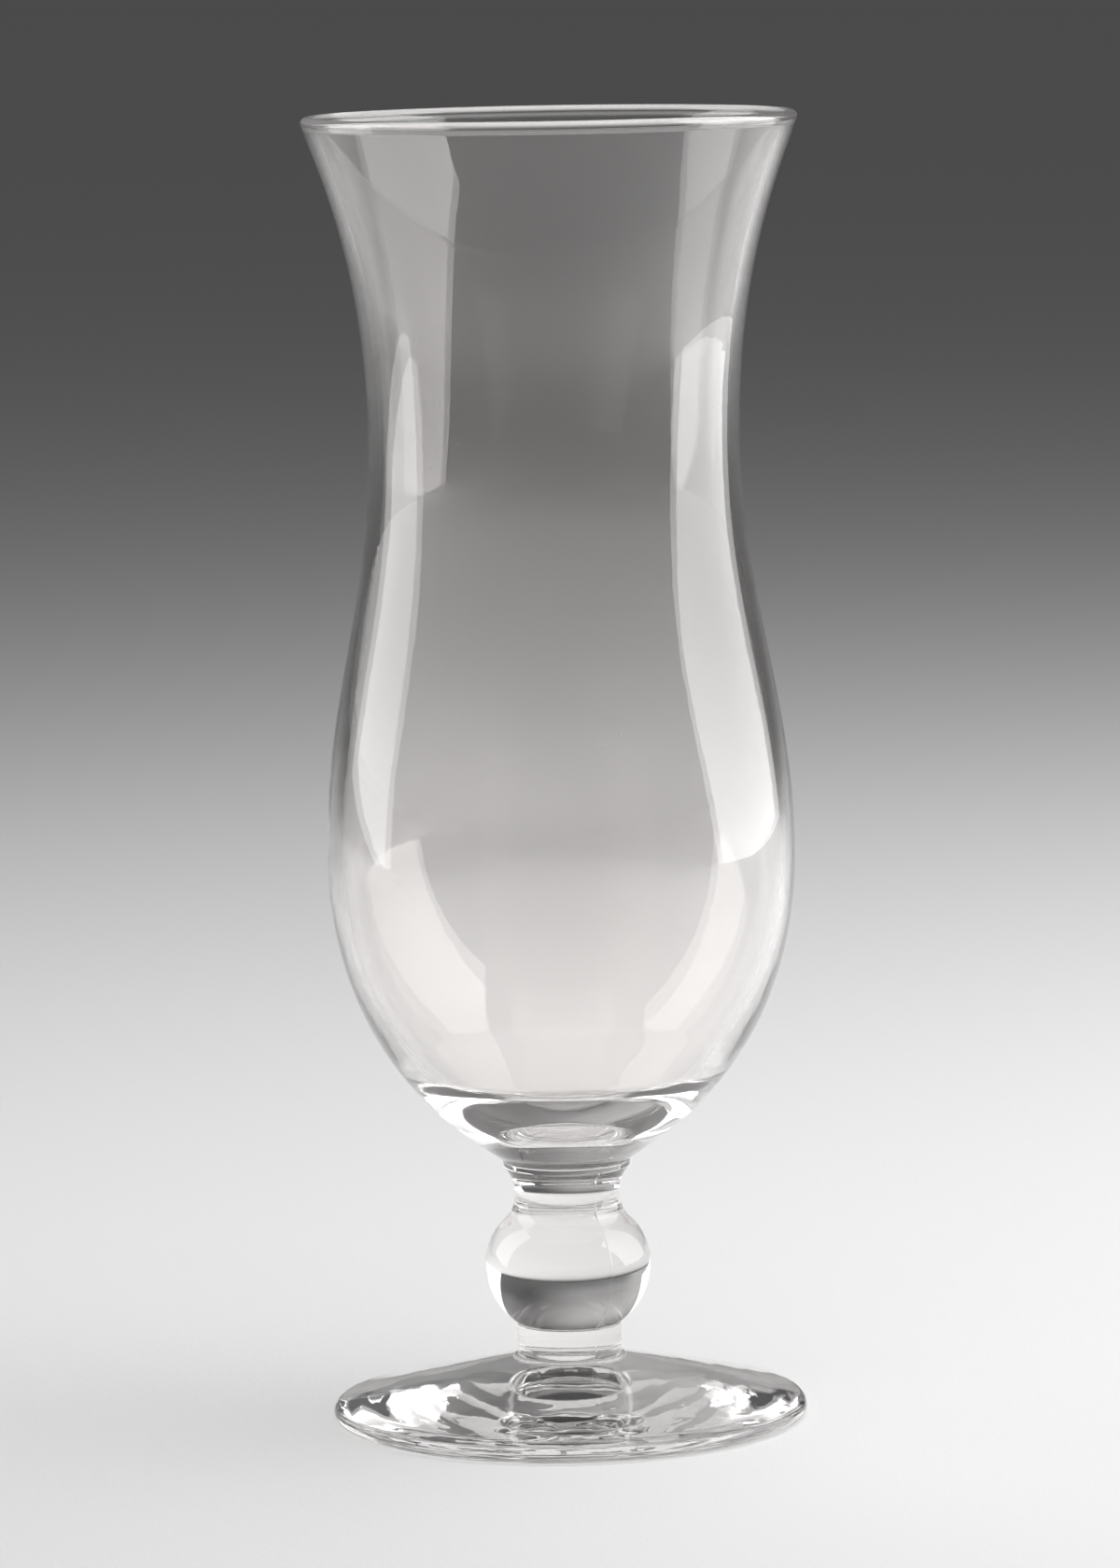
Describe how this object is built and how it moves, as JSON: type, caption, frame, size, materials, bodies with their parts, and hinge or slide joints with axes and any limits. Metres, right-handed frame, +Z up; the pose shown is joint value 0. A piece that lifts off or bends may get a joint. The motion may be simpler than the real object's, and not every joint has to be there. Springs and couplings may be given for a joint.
{
  "type": "hurricane glass",
  "caption": "Clear hurricane glass: flared beaded mouth, drawn-in waist and round belly over a thick base, on a short stem with a ball knop and a low conical foot, for mixed drinks.",
  "frame": {"origin": "on the table, under the middle of the foot", "axes": "+Z up along the glass's own axis, from the foot to the mouth; X and Y are free, because the glass is round"},
  "size_m": [0.0788, 0.0788, 0.21],
  "materials": {
    "blown_glass": "clear blown soda-lime glass, fire polished",
    "pressed_glass": "clear pressed soda-lime glass, with a faint mould seam"
  },
  "bodies": {
    "root": {"foot": "pressed_glass", "knop_stem": "pressed_glass", "bowl": "blown_glass"}
  },
  "joints": []
}
